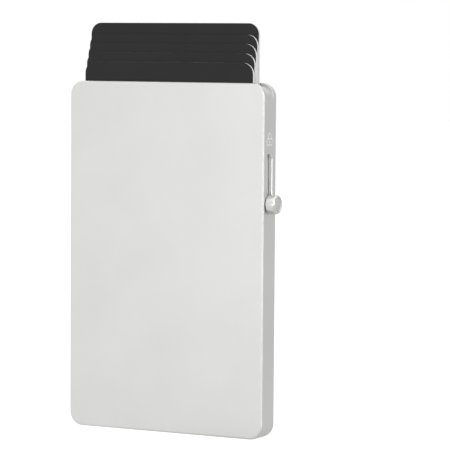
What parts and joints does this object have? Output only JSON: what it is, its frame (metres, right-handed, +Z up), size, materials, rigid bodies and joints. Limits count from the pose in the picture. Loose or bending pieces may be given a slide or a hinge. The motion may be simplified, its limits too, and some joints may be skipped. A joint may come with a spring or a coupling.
{
  "type": "minimalist wallet",
  "caption": "Slim aluminium card wallet; a side knob turns a lever whose stepped cams fan the cards out of the top.",
  "frame": {"origin": "middle of the case's underside, which the wallet stands on", "axes": "+Z up, towards the mouth that the cards leave by; -Y out of the front plate; +X towards the side with the knob"},
  "size_m": [0.0654, 0.0074, 0.1155],
  "materials": {
    "case_aluminium": "fine blasted and anodised, satin",
    "inner_aluminium": "rolled sheet, satin",
    "slider_aluminium": "satin",
    "knob_metal": "turned and polished",
    "bright_steel": "bright",
    "lever_steel": "stamped, brushed",
    "bush_bronze": "sintered bronze, matt",
    "rail_plastic": "moulded, matt",
    "washer_plastic": "waxy",
    "felt": "felt",
    "card_plastic": "matt printed faces, pale core at the edges"
  },
  "bodies": {
    "case": {"front_shell": "case_aluminium", "back_cover": "case_aluminium", "divider_plate": "inner_aluminium", "left_rail": "rail_plastic", "right_rail": "rail_plastic", "front_grip_pad": "felt", "back_grip_pad": "felt", "pivot_pin": "bright_steel", "thrust_washer": "washer_plastic", "drag_spring": "bright_steel"},
    "slider": {"slider_bar": "slider_aluminium", "knob": "knob_metal", "knob_screw": "bright_steel"},
    "lever": {"lever_plate": "lever_steel", "lever_bush": "bush_bronze", "lever_rivets": "bright_steel", "cam_1": "lever_steel", "cam_2": "lever_steel", "cam_3": "lever_steel", "cam_4": "lever_steel", "cam_5": "lever_steel"},
    "card_1": {"card_1": "card_plastic"},
    "card_2": {"card_2": "card_plastic"},
    "card_3": {"card_3": "card_plastic"},
    "card_4": {"card_4": "card_plastic"},
    "card_5": {"card_5": "card_plastic"}
  },
  "joints": [
    {"name": "knob_slide", "type": "slide", "parent": "case", "child": "slider", "axis": [0, 0, 1], "range_m": [0, 0.0123]},
    {"name": "lever_pivot", "type": "hinge", "parent": "case", "child": "lever", "pos_m": [0.0169, 0, 0.0093], "axis": [0, -1, 0], "range_deg": [0, 60]},
    {"name": "card_1_slide", "type": "slide", "parent": "case", "child": "card_1", "axis": [0, 0, 1], "range_m": [-0.0065, 0]},
    {"name": "card_2_slide", "type": "slide", "parent": "case", "child": "card_2", "axis": [0, 0, 1], "range_m": [-0.0091, 0]},
    {"name": "card_3_slide", "type": "slide", "parent": "case", "child": "card_3", "axis": [0, 0, 1], "range_m": [-0.0117, 0]},
    {"name": "card_4_slide", "type": "slide", "parent": "case", "child": "card_4", "axis": [0, 0, 1], "range_m": [-0.0143, 0]},
    {"name": "card_5_slide", "type": "slide", "parent": "case", "child": "card_5", "axis": [0, 0, 1], "range_m": [-0.0175, 0]}
  ],
  "couplings": [
    {"joint": "lever_pivot", "follows": "knob_slide", "rad_per_m": 85.13},
    {"joint": "card_1_slide", "follows": "knob_slide", "ratio": -0.5284},
    {"joint": "card_2_slide", "follows": "knob_slide", "ratio": -0.7398},
    {"joint": "card_3_slide", "follows": "knob_slide", "ratio": -0.9512},
    {"joint": "card_4_slide", "follows": "knob_slide", "ratio": -1.1626},
    {"joint": "card_5_slide", "follows": "knob_slide", "ratio": -1.4227}
  ]
}
